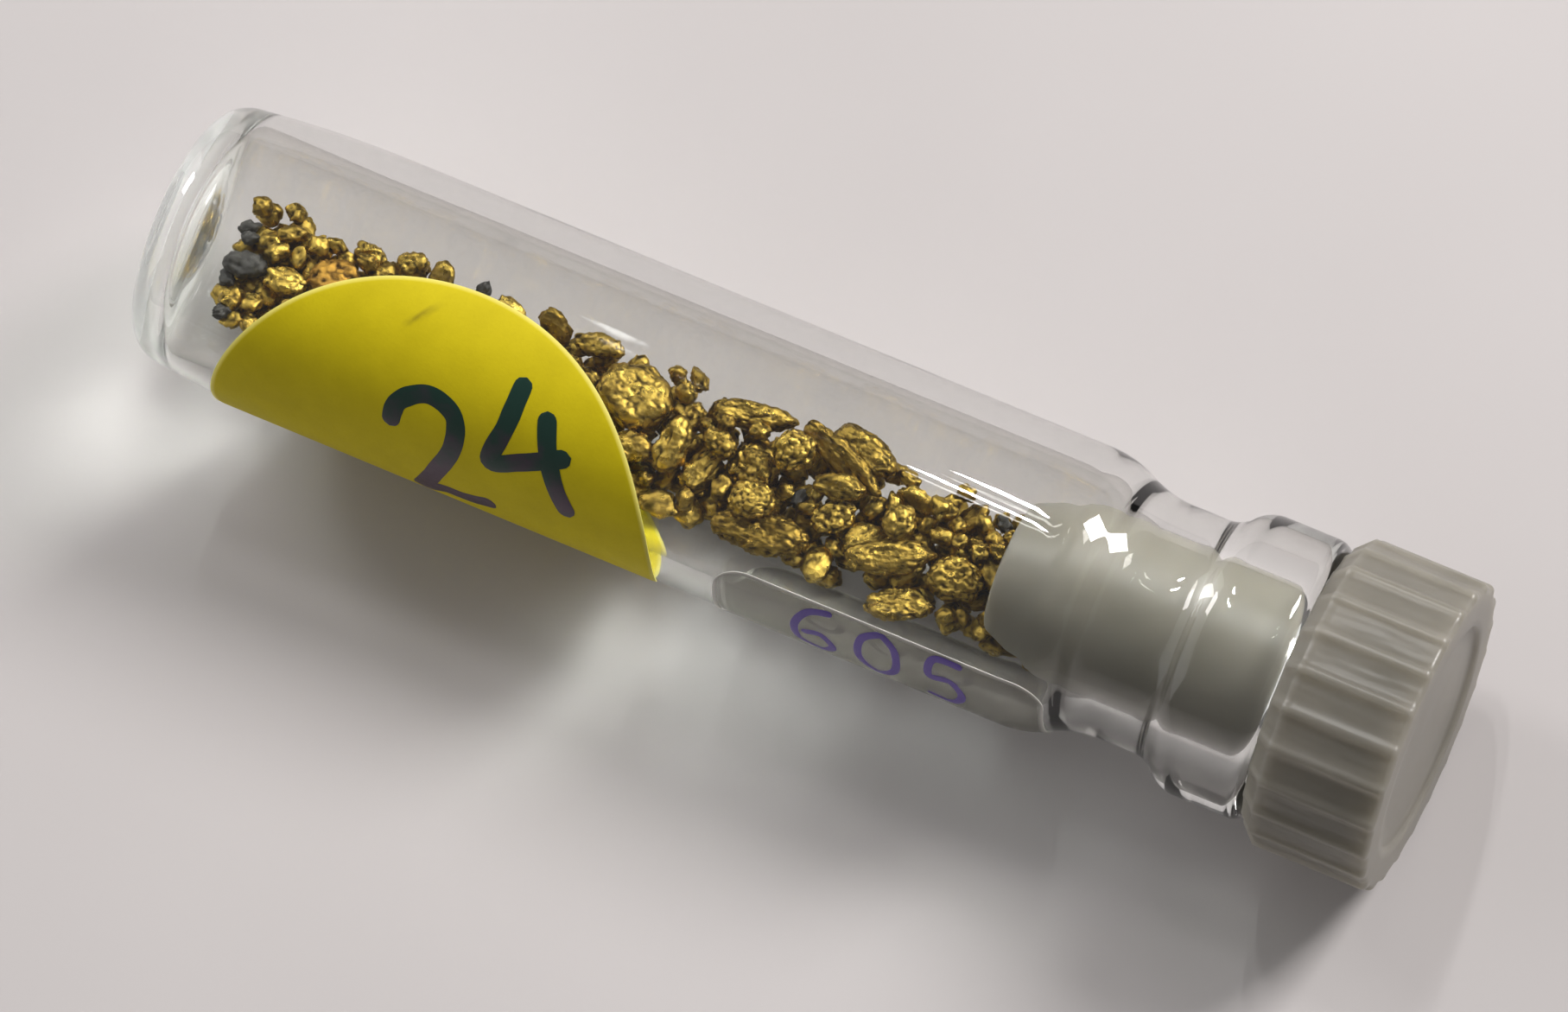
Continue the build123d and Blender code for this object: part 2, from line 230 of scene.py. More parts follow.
class Nodes:
    """A material's node tree, with short ways to add and link nodes."""

    def __init__(self, name):
        self.material = bpy.data.materials.new(name)
        self.material.use_nodes = True
        self.tree = self.material.node_tree
        self.shader = self.tree.nodes["Principled BSDF"]
        self.output = self.tree.nodes["Material Output"]
        self.coords = self.add("ShaderNodeTexCoord").outputs["Object"]

    def add(self, kind, **values):
        node = self.tree.nodes.new(kind)
        for key, value in values.items():
            setattr(node, key, value)
        return node

    def link(self, source, target):
        self.tree.links.new(source, target)

    def noise(self, scale, detail=4.0, roughness=0.5, stretch=None):
        """Fractal noise with about this many blotches to a millimetre."""
        coords = self.coords
        if stretch:
            mapping = self.add("ShaderNodeMapping")
            mapping.inputs["Scale"].default_value = stretch
            self.link(coords, mapping.inputs["Vector"])
            coords = mapping.outputs["Vector"]
        node = self.add("ShaderNodeTexNoise")
        node.inputs["Scale"].default_value = scale / MM
        node.inputs["Detail"].default_value = detail
        node.inputs["Roughness"].default_value = roughness
        self.link(coords, node.inputs["Vector"])
        return node.outputs["Fac"]

    def cells(self, scale):
        """Distance to the nearest of about this many cell centres to a millimetre."""
        node = self.add("ShaderNodeTexVoronoi", feature="F1")
        node.inputs["Scale"].default_value = scale / MM
        self.link(self.coords, node.inputs["Vector"])
        return node.outputs["Distance"]

    def ramp(self, source, stops):
        """A colour that runs between two stops, each a position and its colour."""
        node = self.add("ShaderNodeValToRGB")
        for element, (position, colour) in zip(node.color_ramp.elements, stops):
            element.position = position
            element.color = (*colour, 1)
        self.link(source, node.inputs["Fac"])
        return node.outputs["Color"]

    def spread(self, source, low, high, start=0.0, end=1.0):
        """Map a value from start..end to low..high."""
        node = self.add("ShaderNodeMapRange")
        node.inputs["From Min"].default_value = start
        node.inputs["From Max"].default_value = end
        node.inputs["To Min"].default_value = low
        node.inputs["To Max"].default_value = high
        self.link(source, node.inputs["Value"])
        return node.outputs["Result"]

    def math(self, operation, first, second):
        node = self.add("ShaderNodeMath", operation=operation)
        for socket, value in zip(node.inputs, (first, second)):
            if isinstance(value, (int, float)):
                socket.default_value = value
            else:
                self.link(value, socket)
        return node.outputs["Value"]

    def blend(self, factor, first, second):
        """Mix two colours. The sockets' numbers are those of the node's colour mode."""
        node = self.add("ShaderNodeMix", data_type="RGBA")
        for index, value in zip((0, 6, 7), (factor, first, second)):
            if isinstance(value, (int, float)):
                node.inputs[index].default_value = value
            elif isinstance(value, tuple):
                node.inputs[index].default_value = (*value, 1)
            else:
                self.link(value, node.inputs[index])
        return node.outputs[2]

    def bump(self, height, depth, strength=1.0):
        """Bump from a height of 0 to 1, this many millimetres deep."""
        node = self.add("ShaderNodeBump")
        node.inputs["Strength"].default_value = strength
        node.inputs["Distance"].default_value = depth * MM
        self.link(height, node.inputs["Height"])
        self.link(node.outputs["Normal"], self.shader.inputs["Normal"])

    def attribute(self, name):
        """A number stored on the mesh's points."""
        return self.add("ShaderNodeAttribute", attribute_name=name).outputs["Fac"]

    def set(self, **values):
        """Set or link the shader's sockets, named with underscores for spaces."""
        for key, value in values.items():
            socket = self.shader.inputs[key.replace("_", " ")]
            if isinstance(value, (int, float)):
                socket.default_value = value
            elif isinstance(value, tuple):
                socket.default_value = (*value, 1) if socket.type == "RGBA" else value
            else:
                self.link(value, socket)

    def let_lamps_through(self, tint):
        """Let lamplight reach what is behind this glass."""
        clear = self.add("ShaderNodeBsdfTransparent")
        clear.inputs["Color"].default_value = (*tint, 1)
        path = self.add("ShaderNodeLightPath")
        mix = self.add("ShaderNodeMixShader")
        self.link(path.outputs["Is Shadow Ray"], mix.inputs[0])
        self.link(self.shader.outputs["BSDF"], mix.inputs[1])
        self.link(clear.outputs["BSDF"], mix.inputs[2])
        self.link(mix.outputs["Shader"], self.output.inputs["Surface"])


# ---- materials -------------------------------------------------------------------------------


def glass_material(name, film):
    """Soda glass, faintly smeared and scratched: scuffed at the heel, or with a faintly grey coat on
    the inside that darkens it most where it is seen edge-on.
    """
    m = Nodes(name)
    smears = m.noise(0.35, detail=5)
    scratches = m.noise(3.0, detail=2, stretch=(0.06, 1, 1))
    smeared = m.spread(smears, 0.0, 0.05, 0.5, 0.75)
    rough = m.math("ADD", smeared, m.spread(scratches, 0.0, 0.03, 0.62, 0.7))
    colour = m.ramp(smears, ((0.4, (0.97, 0.98, 0.97)), (0.8, (0.93, 0.94, 0.925))))
    m.set(Base_Color=colour, Roughness=rough, IOR=1.51)
    if film:
        # The inside's faintly grey coat darkens it most where it is seen edge-on, drawing a dark line
        # along the inner wall.
        m.set(Transmission_Weight=1.0, Coat_Weight=1.0)
        m.set(Coat_IOR=1.005, Coat_Tint=(0.93, 0.925, 0.92))
    else:
        m.set(Transmission_Weight=m.spread(m.attribute("scuff"), 1.0, 0.6))
    m.bump(m.noise(0.16, detail=2), 0.007, 0.35)
    m.let_lamps_through((0.84, 0.86, 0.85))
    return m.material


def stopper_material():
    """Natural polyethylene: milky grey and waxy, clouded by how it flowed in the mould."""
    m = Nodes("natural_polyethylene")
    clouds = m.noise(0.3, detail=4)
    colour = m.ramp(clouds, ((0.3, (0.27, 0.255, 0.215)), (0.7, (0.33, 0.31, 0.265))))
    fine = m.noise(9.0, detail=3)
    m.set(
        Base_Color=colour,
        Roughness=m.spread(clouds, 0.3, 0.4, 0.3, 0.7),
        IOR=1.5,
        Subsurface_Weight=1.0,
        Subsurface_Radius=(1.0, 0.95, 0.85),
        Subsurface_Scale=0.003,
        Transmission_Weight=0.4,
    )
    m.bump(m.math("ADD", m.spread(fine, 0, 0.15), m.noise(0.9, detail=1)), 0.01, 0.5)
    return m.material


def dot_material():
    """Matte yellow label paper, with fibre grain, faint rubbing and shade painted dark along its
    crease.
    """
    m = Nodes("dot_paper")
    mottle = m.noise(0.5, detail=6, roughness=0.6)
    fibre = m.noise(7.0, detail=4, roughness=0.7)
    colour = m.ramp(mottle, ((0.3, (0.56, 0.455, 0.0)), (0.7, (0.64, 0.525, 0.002))))
    colour = m.blend(m.spread(fibre, 0.0, 0.22, 0.5, 0.8), colour, (0.47, 0.37, 0.004))
    # Painted shade: the paper darkens along its crease.
    colour = m.blend(m.math("MULTIPLY", m.attribute("crease"), 0.7), colour, (0.2, 0.15, 0.005))
    colour = m.blend(m.math("MULTIPLY", m.attribute("edge"), 0.55), colour, (0.82, 0.78, 0.3))
    m.set(Base_Color=colour, Roughness=m.spread(fibre, 0.55, 0.72), Specular_IOR_Level=0.25)
    m.bump(fibre, 0.012, 0.6)
    return m.material


def marker_material(name, dark, light):
    """Felt-pen ink: its dark colour towards the top of the vial, its light one lower down."""
    m = Nodes(name)
    pool = m.noise(0.9, detail=4)
    speck = m.noise(6.0, detail=3)
    level = m.math("ADD", m.attribute("fade"), m.spread(pool, -0.25, 0.25, 0.3, 0.7))
    colour = m.ramp(level, ((0.3, light), (0.75, dark)))
    m.set(Base_Color=colour, Roughness=m.spread(speck, 0.3, 0.5))
    m.set(Coat_Weight=0.2, Coat_Roughness=0.3)
    m.bump(speck, 0.006, 0.5)
    return m.material


def tape_material():
    """Matte clear tape: a thin grey-beige film with whiter edges where it has lifted."""
    m = Nodes("clear_tape")
    haze = m.noise(0.6, detail=5)
    grain = m.noise(8.0, detail=3)
    edge = m.attribute("edge")
    film = m.ramp(haze, ((0.35, (0.2, 0.19, 0.16)), (0.65, (0.27, 0.26, 0.225))))
    colour = m.blend(edge, film, (0.66, 0.64, 0.6))
    m.set(
        Base_Color=colour,
        Roughness=m.spread(grain, 0.3, 0.45),
        Alpha=m.math("ADD", m.spread(haze, 0.3, 0.44), m.math("MULTIPLY", edge, 0.4)),
    )
    m.bump(grain, 0.008, 0.5)
    return m.material


def gold_material(name, bright, deep, painted_crevice_shade, rough):
    """Placer gold: warm metal with hammered pits, duller in its hollows, where shade is painted in
    nearly black.
    """
    m = Nodes(name)
    depth = m.attribute("depth")
    tint = m.attribute("tint")
    patina = m.noise(1.6, detail=5, roughness=0.6)
    fine = m.noise(5.5, detail=5, roughness=0.65)
    pits = m.cells(4.2)
    colour = m.blend(tint, bright, deep)
    colour = m.blend(m.spread(patina, 0.0, 0.75, 0.44, 0.68), colour, deep)
    # Painted shade: the hollows are darkened towards a nearly black colour.
    colour = m.blend(m.spread(depth, 0.0, 0.92, 0.35, 0.9), colour, painted_crevice_shade)
    dull = m.spread(patina, rough, rough + 0.22, 0.3, 0.7)
    dull = m.math("ADD", dull, m.spread(depth, 0.0, 0.3, 0.4, 1.0))
    m.set(Base_Color=colour, Metallic=1.0, Roughness=dull)
    m.bump(m.math("ADD", m.math("MULTIPLY", fine, 0.6), m.math("MULTIPLY", pits, 0.6)), 0.085, 0.75)
    return m.material


def stone_material(name, dark, light):
    """Dark rock with lighter mineral specks."""
    m = Nodes(name)
    grain = m.noise(5.0, detail=5, roughness=0.7)
    colour = m.ramp(grain, ((0.35, dark), (0.6, light)))
    m.set(Base_Color=colour, Roughness=m.spread(grain, 0.45, 0.75))
    m.bump(grain, 0.05, 0.8)
    return m.material


def floor_material():
    """A plain pale work surface with a trace of tone."""
    m = Nodes("pale_floor")
    tone = m.noise(0.02, detail=3)
    colour = m.ramp(tone, ((0.35, (0.52, 0.495, 0.49)), (0.65, (0.56, 0.535, 0.53))))
    m.set(Base_Color=colour, Roughness=0.7, Specular_IOR_Level=0.2)
    return m.material


# ---- glass and stopper -----------------------------------------------------------------------


def glass_profile():
    """The vial's outline from the axis under its base, round the lip and back along the inside."""
    edge_r = 5.17  # where the body's slight taper would reach the base, without the heel
    rise = BODY_R - edge_r
    taper = (TAPER_END**2 + rise**2) / (2 * rise)
    lip = 0.7
    mouth = 0.45
    inner_heel = 1.5
    punt_sphere, punt_angle = cap(PUNT_R, PUNT)
    dome_sphere, dome_angle = cap(PUNT_R, DOME)

    def taper_point(station):
        return (station, BODY_R - taper + math.sqrt(taper**2 - (TAPER_END - station) ** 2))

    heel_centre = (HEEL, taper_point(HEEL)[1] - HEEL)
    outline = arc((PUNT - punt_sphere, 0), punt_sphere, 0, punt_angle, 12)
    outline += run((0, PUNT_R), (0, heel_centre[1]), 6)
    outline += arc(heel_centre, HEEL, 180, 92, 16)
    outline += [taper_point(HEEL + (TAPER_END - HEEL) * k / 12) for k in range(1, 13)]
    outline += run((TAPER_END, BODY_R), (SHOULDER[0], BODY_R), 40)
    outline += s_curve((SHOULDER[0], BODY_R), (SHOULDER[1], NECK_R), 24)
    outline += run((SHOULDER[1], NECK_R), (LIP[0], NECK_R), 4)
    outline += s_curve((LIP[0], NECK_R), (LIP[1], LIP_R), 20)
    outline += run((LIP[1], LIP_R), (LENGTH - lip, LIP_R), 6)
    outline += arc((LENGTH - lip, LIP_R - lip), lip, 90, 0, 12)
    outline += run((LENGTH, LIP_R - lip), (LENGTH, BORE_R + mouth), 4)
    outline += arc((LENGTH - mouth, BORE_R + mouth), mouth, 0, -90, 8)
    outline += run((LENGTH - mouth, BORE_R), (INNER_SHOULDER[1], BORE_R), 10)
    outline += s_curve((INNER_SHOULDER[0], INNER_R), (INNER_SHOULDER[1], BORE_R), 24)[::-1]
    outline += run((INNER_SHOULDER[0], INNER_R), (FLOOR + inner_heel, INNER_R), 40)
    outline += arc((FLOOR + inner_heel, INNER_R - inner_heel), inner_heel, 90, 180, 12)
    outline += run((FLOOR, INNER_R - inner_heel), (FLOOR, PUNT_R), 2)
    outline += arc((FLOOR + DOME - dome_sphere, 0), dome_sphere, dome_angle, 0, 12)
    return outline


def build_glass():
    """The vial's glass, with one material outside and another inside, whose grey coat darkens the
    inner wall most where it is seen edge-on.
    """

    def wavy(station, radius, bearing):
        """The slight unevenness of drawn tubing, kept inside the true size."""
        swell = noise.noise(Vector((station * 0.12, bearing / 70.0, radius)))
        return radius - 0.012 * abs(swell)

    piece = turned("vial_glass", glass_profile(), "vial", "glass", ["glass_vial"], wavy, 256)
    piece.data.materials.append(glass_material("vial_glass", film=False))
    piece.data.materials.append(glass_material("vial_glass_inside", film=True))
    stations = [v.co.x / MM - BASE_X for v in piece.data.vertices]
    store(piece, "scuff", [1 - min(max(station, 0.0) / HEEL, 1.0) for station in stations])
    for polygon in piece.data.polygons:
        centre = polygon.center / MM
        outward = Vector((0, centre.y, centre.z - AXIS_Z)).normalized()
        polygon.material_index = int(polygon.normal.dot(outward) < -0.5)


def stopper_profile():
    """The stopper's outline from the bottom of its hollow, round the plug and head to its end."""
    chamfer = 0.65
    tip_round = 0.2
    edge = 0.25
    hollow_end = TIP + HOLLOW
    step = (TIP + TAPER - 0.3, PLUG_R - 0.1)  # the soft step where the taper meets the plug
    step_end = TIP + TAPER + 0.4
    outline = run((hollow_end, 0), (hollow_end, HOLLOW_R), 3)
    outline += run((hollow_end, HOLLOW_R), (TIP, HOLLOW_R), 6)
    outline += run((TIP, HOLLOW_R), (TIP, TIP_R - tip_round), 2)
    outline += arc((TIP + tip_round, TIP_R - tip_round), tip_round, 180, 110, 6)
    outline += run((TIP + tip_round, TIP_R + 0.02), step, 6)
    outline += s_curve(step, (step_end, PLUG_R), 6)
    outline += run((step_end, PLUG_R), (HEAD[0], PLUG_R), 20)
    outline += run((HEAD[0], PLUG_R + 0.02), (HEAD[0], HEAD_R - chamfer), 5)
    outline += run((HEAD[0], HEAD_R - chamfer), (HEAD[0] + chamfer, HEAD_R), 5)
    outline += run((HEAD[0] + chamfer, HEAD_R), (HEAD[1] - edge, HEAD_R), 12)
    outline += arc((HEAD[1] - edge, HEAD_R - edge), edge, 90, 0, 8)
    outline += run((HEAD[1], HEAD_R - edge), (HEAD[1], RECESS_R), 5)
    outline += run((HEAD[1], RECESS_R), (HEAD[1] - RECESS, RECESS_R - RECESS), 3)
    outline += run((HEAD[1] - RECESS, RECESS_R - RECESS), (HEAD[1] - RECESS, 0), 6)
    return outline


def build_stopper():
    """The stopper, with its head fluted."""
    flutes_start = RECESS_R + 0.3
    flute_share = 0.86  # of the pitch from ridge to ridge
    steps = 24 * FLUTES

    def fluted(station, radius, bearing):
        """Draw in the head's rim between its ridges."""
        if radius < flutes_start or station < HEAD[0]:
            return radius
        phase = abs((bearing * FLUTES / 360 - 0.5) % 1 - 0.5) * 2
        hollow = 0.8 * (1 - min(1.0, phase / flute_share) ** 4)
        reach = min(1.0, radius - flutes_start)
        uneven = 1 + 0.12 * noise.noise(Vector((station * 0.8, bearing * 0.4, 3.0)))
        return radius - FLUTE_DEPTH * hollow * reach * uneven

    outline = stopper_profile()
    piece = turned("stopper", outline, "stopper", "stopper", ["plug_stopper"], fluted, steps)
    piece.data.materials.append(stopper_material())


# ---- labels ----------------------------------------------------------------------------------


def dot_point(along, across, lift):
    """A point on the dot: millimetres along +X and round the body from its centre."""
    bearing = DOT_BEARING + math.degrees(across / DOT_INSIDE)
    return around(DOT_STATION + along, DOT_INSIDE + lift, bearing)


def build_dot():
    """The paper disc: a face, a back and a cut edge, with one faint crease."""
    rings, spokes = 48, 240
    face = DOT_THICK - INK_ROOM
    worn_rim = 0.02
    fold_height = 0.03
    fold_middle = (-1.9, 7.85)
    fold_slant = (0.64, 0.77)

    def crease(along, across):
        """How near a point is to the small fold in the paper near its upper edge, from 0 to 1."""
        u, v = along - fold_middle[0], across - fold_middle[1]
        side = v * fold_slant[0] - u * fold_slant[1]
        length = u * fold_slant[0] + v * fold_slant[1]
        return math.exp(-((side / 0.09) ** 2) - (length / 0.7) ** 4)

    points, edges, creases = [], [], []
    for side in (0, 1):
        for ring in range(1, rings + 1):
            radius = DOT_R * ring / rings
            for spoke in range(spokes):
                angle = 2 * math.pi * spoke / spokes
                along = radius * math.cos(angle)
                across = radius * math.sin(angle)
                on_edge = float(ring == rings)
                fold = crease(along, across)
                lift = side * (face - worn_rim * on_edge + fold_height * fold)
                points.append(dot_point(along, across, lift))
                edges.append(on_edge)
                creases.append(side * fold)
        points.append(dot_point(0, 0, side * face))
        edges.append(0.0)
        creases.append(0.0)
    per_side = rings * spokes + 1
    faces = []
    for side in (0, 1):
        start = side * per_side
        centre = start + per_side - 1
        for k in range(spokes):
            after = (k + 1) % spokes
            tri = (centre, start + k, start + after)
            faces.append(tri if not side else tri[::-1])
            for ring in range(rings - 1):
                a = start + ring * spokes
                quad = (a + k, a + spokes + k, a + spokes + after, a + after)
                faces.append(quad if not side else quad[::-1])
    rim = (rings - 1) * spokes
    for k in range(spokes):
        after = (k + 1) % spokes
        faces.append((rim + k, per_side + rim + k, per_side + rim + after, rim + after))
    piece = make_object("dot_sticker", points, faces, "vial", "dot_paper", ["dot_label"])
    piece.data.materials.append(dot_material())
    store(piece, "edge", edges)
    # How near each point lies to the fold, which the material uses to paint shade along it.
    store(piece, "crease", creases)


def smooth_path(corners, steps=10):
    """A Catmull-Rom curve through a stroke's points."""
    padded = [corners[0], *corners, corners[-1]]
    path = []
    for i in range(1, len(padded) - 2):
        p0, p1, p2, p3 = (np.array(p, float) for p in padded[i - 1 : i + 3])
        for step in range(steps):
            t = step / steps
            squared = (2 * p0 - 5 * p1 + 4 * p2 - p3) * t**2
            cubed = (3 * p1 - p0 - 3 * p2 + p3) * t**3
            path.append(0.5 * (2 * p1 + (p2 - p0) * t + squared + cubed))
    path.append(np.array(padded[-2], float))
    return path


def stroke(path, width, place, lift):
    """A pen stroke: a slightly domed ribbon with round ends. Returns its points and faces."""
    across_steps = 6
    dome = 0.012
    least_half = 0.02
    unsteady = 0.07
    points, faces = [], []
    lengths = [0.0]
    for a, b in zip(path, path[1:]):
        lengths.append(lengths[-1] + float(np.linalg.norm(b - a)))
    total = lengths[-1]
    for i, point in enumerate(path):
        before = path[max(i - 1, 0)]
        after = path[min(i + 1, len(path) - 1)]
        direction = (after - before) / max(np.linalg.norm(after - before), 1e-9)
        side = np.array((-direction[1], direction[0]))
        end = min(lengths[i], total - lengths[i])
        half = width / 2
        if end < half:
            half = math.sqrt(max(half**2 - (half - end) ** 2, least_half**2))
        half *= 1 + unsteady * noise.noise(Vector((point[0] * 1.7, point[1] * 1.7, 4.0)))
        for k in range(across_steps + 1):
            share = 2 * k / across_steps - 1
            spot = point + side * half * share
            points.append(place(spot[0], spot[1], lift + dome * (1 - share**4)))
    row = across_steps + 1
    for i in range(len(path) - 1):
        for k in range(across_steps):
            a = i * row + k
            faces.append((a, a + 1, a + row + 1, a + row))
    return points, faces


# ---- writing ---------------------------------------------------------------------------------

# A digit is one or more strokes, drawn about its own middle: millimetres to the right and up.
TWO_BOWL = [(-1.5, 1.4), (-0.9, 2.5), (0.4, 2.8), (1.35, 1.9), (1.0, 0.5), (-0.3, -1.0)]
TWO_FOOT = [(-1.6, -2.5), (-0.5, -2.2), (0.6, -2.5), (1.9, -2.5)]
FOUR_ARM = [(0.2, 2.9), (-0.7, 1.1), (-1.7, -0.5), (-0.4, -0.5), (1.8, -0.25)]
FOUR_STEM = [(1.0, 1.6), (0.85, 0.0), (0.9, -1.6), (1.15, -3.0)]
SIX_STEM = [(0.7, 1.5), (-0.3, 1.1), (-0.8, 0.0), (-0.6, -1.2)]
SIX_BOWL = [(0.3, -1.5), (0.8, -0.8), (0.3, -0.1), (-0.5, -0.4)]
NOUGHT_LEFT = [(0.1, 1.5), (-0.7, 0.8), (-0.75, -0.6)]
NOUGHT_RIGHT = [(0.0, -1.5), (0.75, -0.6), (0.7, 0.8), (0.0, 1.5)]
FIVE_TOP = [(0.7, 1.5), (-0.5, 1.4), (-0.6, 0.3)]
FIVE_BOWL = [(0.3, 0.4), (0.8, -0.4), (0.3, -1.4), (-0.7, -1.3)]
TWO = [TWO_BOWL + TWO_FOOT]
FOUR = [FOUR_ARM, FOUR_STEM]
SIX = [SIX_STEM + SIX_BOWL]
NOUGHT = [NOUGHT_LEFT + NOUGHT_RIGHT]
FIVE = [FIVE_TOP + FIVE_BOWL]


def add_fade(piece):
    """Store how high each point lies on the vial, from 0 at the axis to 1 at the top."""
    heights = [(v.co.z / MM - AXIS_Z) / BODY_R for v in piece.data.vertices]
    store(piece, "fade", [min(max(h, 0.0), 1.0) for h in heights])


def write(name, digits, spots, turn, width, place, lift, slot, material):
    """Write digits at spots along and across a label, turned by some degrees from its axis."""
    cos, sin = math.cos(math.radians(turn)), math.sin(math.radians(turn))
    overlap = 0.004  # how much higher each stroke lies than the one before
    strokes = [
        [(along + x * cos - y * sin, across + x * sin + y * cos) for x, y in corners]
        for digit, (along, across) in zip(digits, spots)
        for corners in digit
    ]
    points, faces = [], []
    for order, corners in enumerate(strokes):
        more, quads = stroke(smooth_path(corners), width, place, lift + overlap * order)
        faces += [tuple(len(points) + v for v in quad) for quad in quads]
        points += more
    piece = make_object(name, points, faces, "vial", slot)
    piece.data.materials.append(material)
    add_fade(piece)


def tape_radius(station):
    """The radius of the glass under the tape."""
    if station < SHOULDER[0]:
        return BODY_R
    half_run = (SHOULDER[1] - SHOULDER[0]) / 2
    half_drop = (BODY_R - NECK_R) / 2
    bend = (half_run**2 + half_drop**2) / (2 * half_drop)
    return BODY_R - bend + math.sqrt(bend**2 - (station - SHOULDER[0]) ** 2)


def tape_point(along, across, lift):
    """A point on the tape: millimetres along +X and round the body from its centre."""
    station = TAPE_STATION + along
    bearing = TAPE_BEARING + math.degrees(across / BODY_R)
    return around(station, tape_radius(station) + GLUE + lift, bearing)


def build_tape():
    """The strip of tape, with a soft band marked all round its edge."""
    corner = 1.5
    lifted_edge = 0.22
    ripple_height = 0.012
    face = TAPE_THICK - 0.02
    columns, rows = 120, 60
    half_length, half_width = TAPE_LENGTH / 2, TAPE_WIDTH / 2
    points, edges = [], []
    for side in (0, 1):
        for i in range(columns + 1):
            along = -half_length * math.cos(math.pi * i / columns)
            gap = half_length - abs(along)
            inset = corner - math.sqrt(corner**2 - (corner - gap) ** 2) if gap < corner else 0.0
            half = half_width - inset
            for j in range(rows + 1):
                across = -half * math.cos(math.pi * j / rows)
                border = min(half - abs(across), gap)
                ripple = ripple_height * noise.noise(Vector((along * 0.9, across * 0.9, 7.0)))
                points.append(tape_point(along, across, side * (face + ripple)))
                edges.append(max(0.0, 1 - border / lifted_edge))
    per_side = (columns + 1) * (rows + 1)
    faces = []
    for i in range(columns):
        for j in range(rows):
            a = i * (rows + 1) + j
            quad = (a, a + 1, a + rows + 2, a + rows + 1)
            faces.append(quad[::-1])
            faces.append(tuple(per_side + v for v in quad))
    rim = list(range(rows + 1))
    rim += [i * (rows + 1) + rows for i in range(1, columns + 1)]
    rim += [columns * (rows + 1) + j for j in range(rows - 1, -1, -1)]
    rim += [i * (rows + 1) for i in range(columns - 1, 0, -1)]
    for a, b in zip(rim, rim[1:] + rim[:1]):
        faces.append((a, b, per_side + b, per_side + a))
    piece = make_object("tape_strip", points, faces, "vial", "tape", ["tape_label"])
    piece.data.materials.append(tape_material())
    store(piece, "edge", edges)


# ---- gold ------------------------------------------------------------------------------------


def separate_pieces(node):
    """The separate pieces in one CAD node, each as its corners and its face planes."""
    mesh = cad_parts[node].data
    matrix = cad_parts[node].matrix_world
    corners = np.array([matrix @ v.co for v in mesh.vertices]) / MM
    keys = {}
    same = [keys.setdefault(tuple(np.round(c, 3)), i) for i, c in enumerate(corners)]
    root = list(range(len(corners)))

    def find(i):
        while root[i] != i:
            root[i] = root[root[i]]
            i = root[i]
        return i

    for polygon in mesh.polygons:
        first = find(same[polygon.vertices[0]])
        for v in polygon.vertices:
            root[find(same[v])] = first
    groups = {}
    for polygon in mesh.polygons:
        if polygon.area > 1e-12:
            groups.setdefault(find(same[polygon.vertices[0]]), []).append(polygon)
    turn = np.array(matrix.to_3x3())
    for polygons in groups.values():
        used = sorted({same[v] for polygon in polygons for v in polygon.vertices})
        points = corners[used]
        middle = (points.min(0) + points.max(0)) / 2
        normals = np.array([turn @ np.array(polygon.normal) for polygon in polygons])
        at = np.array([corners[polygon.vertices[0]] for polygon in polygons])
        distances = ((at - middle) * normals).sum(1)
        rounded = np.round(np.column_stack((normals, distances)), 2)
        _, kept = np.unique(rounded, axis=0, return_index=True)
        yield middle, points, normals[kept], distances[kept]


def sphere(steps):
    """An icosphere's directions and faces."""
    ball = bmesh.new()
    bmesh.ops.create_icosphere(ball, subdivisions=steps, radius=1)
    directions = np.array([v.co for v in ball.verts])
    faces = np.array([[v.index for v in f.verts] for f in ball.faces])
    ball.free()
    return directions, faces


def crumple(points, thickness, seed, smooth):
    """How far to move each point along its normal, and how deep in a crease it lies.

    Hammered facets meet in creases, folds run across them, and dents and a fine grain cover all.
    """
    moves = np.zeros(len(points))
    depths = np.zeros(len(points))
    shift = Vector((seed * 3.17, seed * 1.31, seed * 2.73))
    half = Vector((0.5, 0.5, 0.5))
    facets, strength = (1.6, 0.6) if smooth else (2.6, 1.0)
    for i, point in enumerate(points):
        spot = Vector(point) + shift
        bent = (spot + noise.noise_vector(spot * 2.2) * 0.16) * facets
        near, centres = noise.voronoi(bent)
        lean = noise.cell_vector(centres[0] * 9.7) - half
        facet = (bent - centres[0]).dot(lean)
        crease = max(0.0, 1 - (near[1] - near[0]) / 0.3) ** 1.5
        fold = max(0.0, 1 - abs(noise.noise(spot * 3.1)) / 0.12) ** 2
        dents = noise.noise(spot * 5.3)
        fine = noise.noise(spot * 11.0)
        moves[i] = 0.12 * thickness * noise.noise(spot * 1.1) + 0.035 * dents + 0.018 * fine
        moves[i] += strength * (0.24 * facet - 0.1 * crease - 0.08 * fold)
        depths[i] = min(1.0, 0.8 * crease + 0.6 * fold + max(0.0, -dents) * 0.8)
    return moves, depths


def keep_inside_glass(points):
    """Press points that stick into the glass back to just inside it."""
    gap = 0.02
    floor_gap = 0.03
    room = INNER_R - gap
    heights = points[:, 2] - AXIS_Z
    radius = np.hypot(points[:, 1], heights)
    squeeze = np.minimum(1.0, room / np.maximum(radius, 1e-6))
    points[:, 1] *= squeeze
    points[:, 2] = AXIS_Z + heights * squeeze
    points[:, 0] = np.maximum(points[:, 0], BASE_X + FLOOR + floor_gap)
    return points


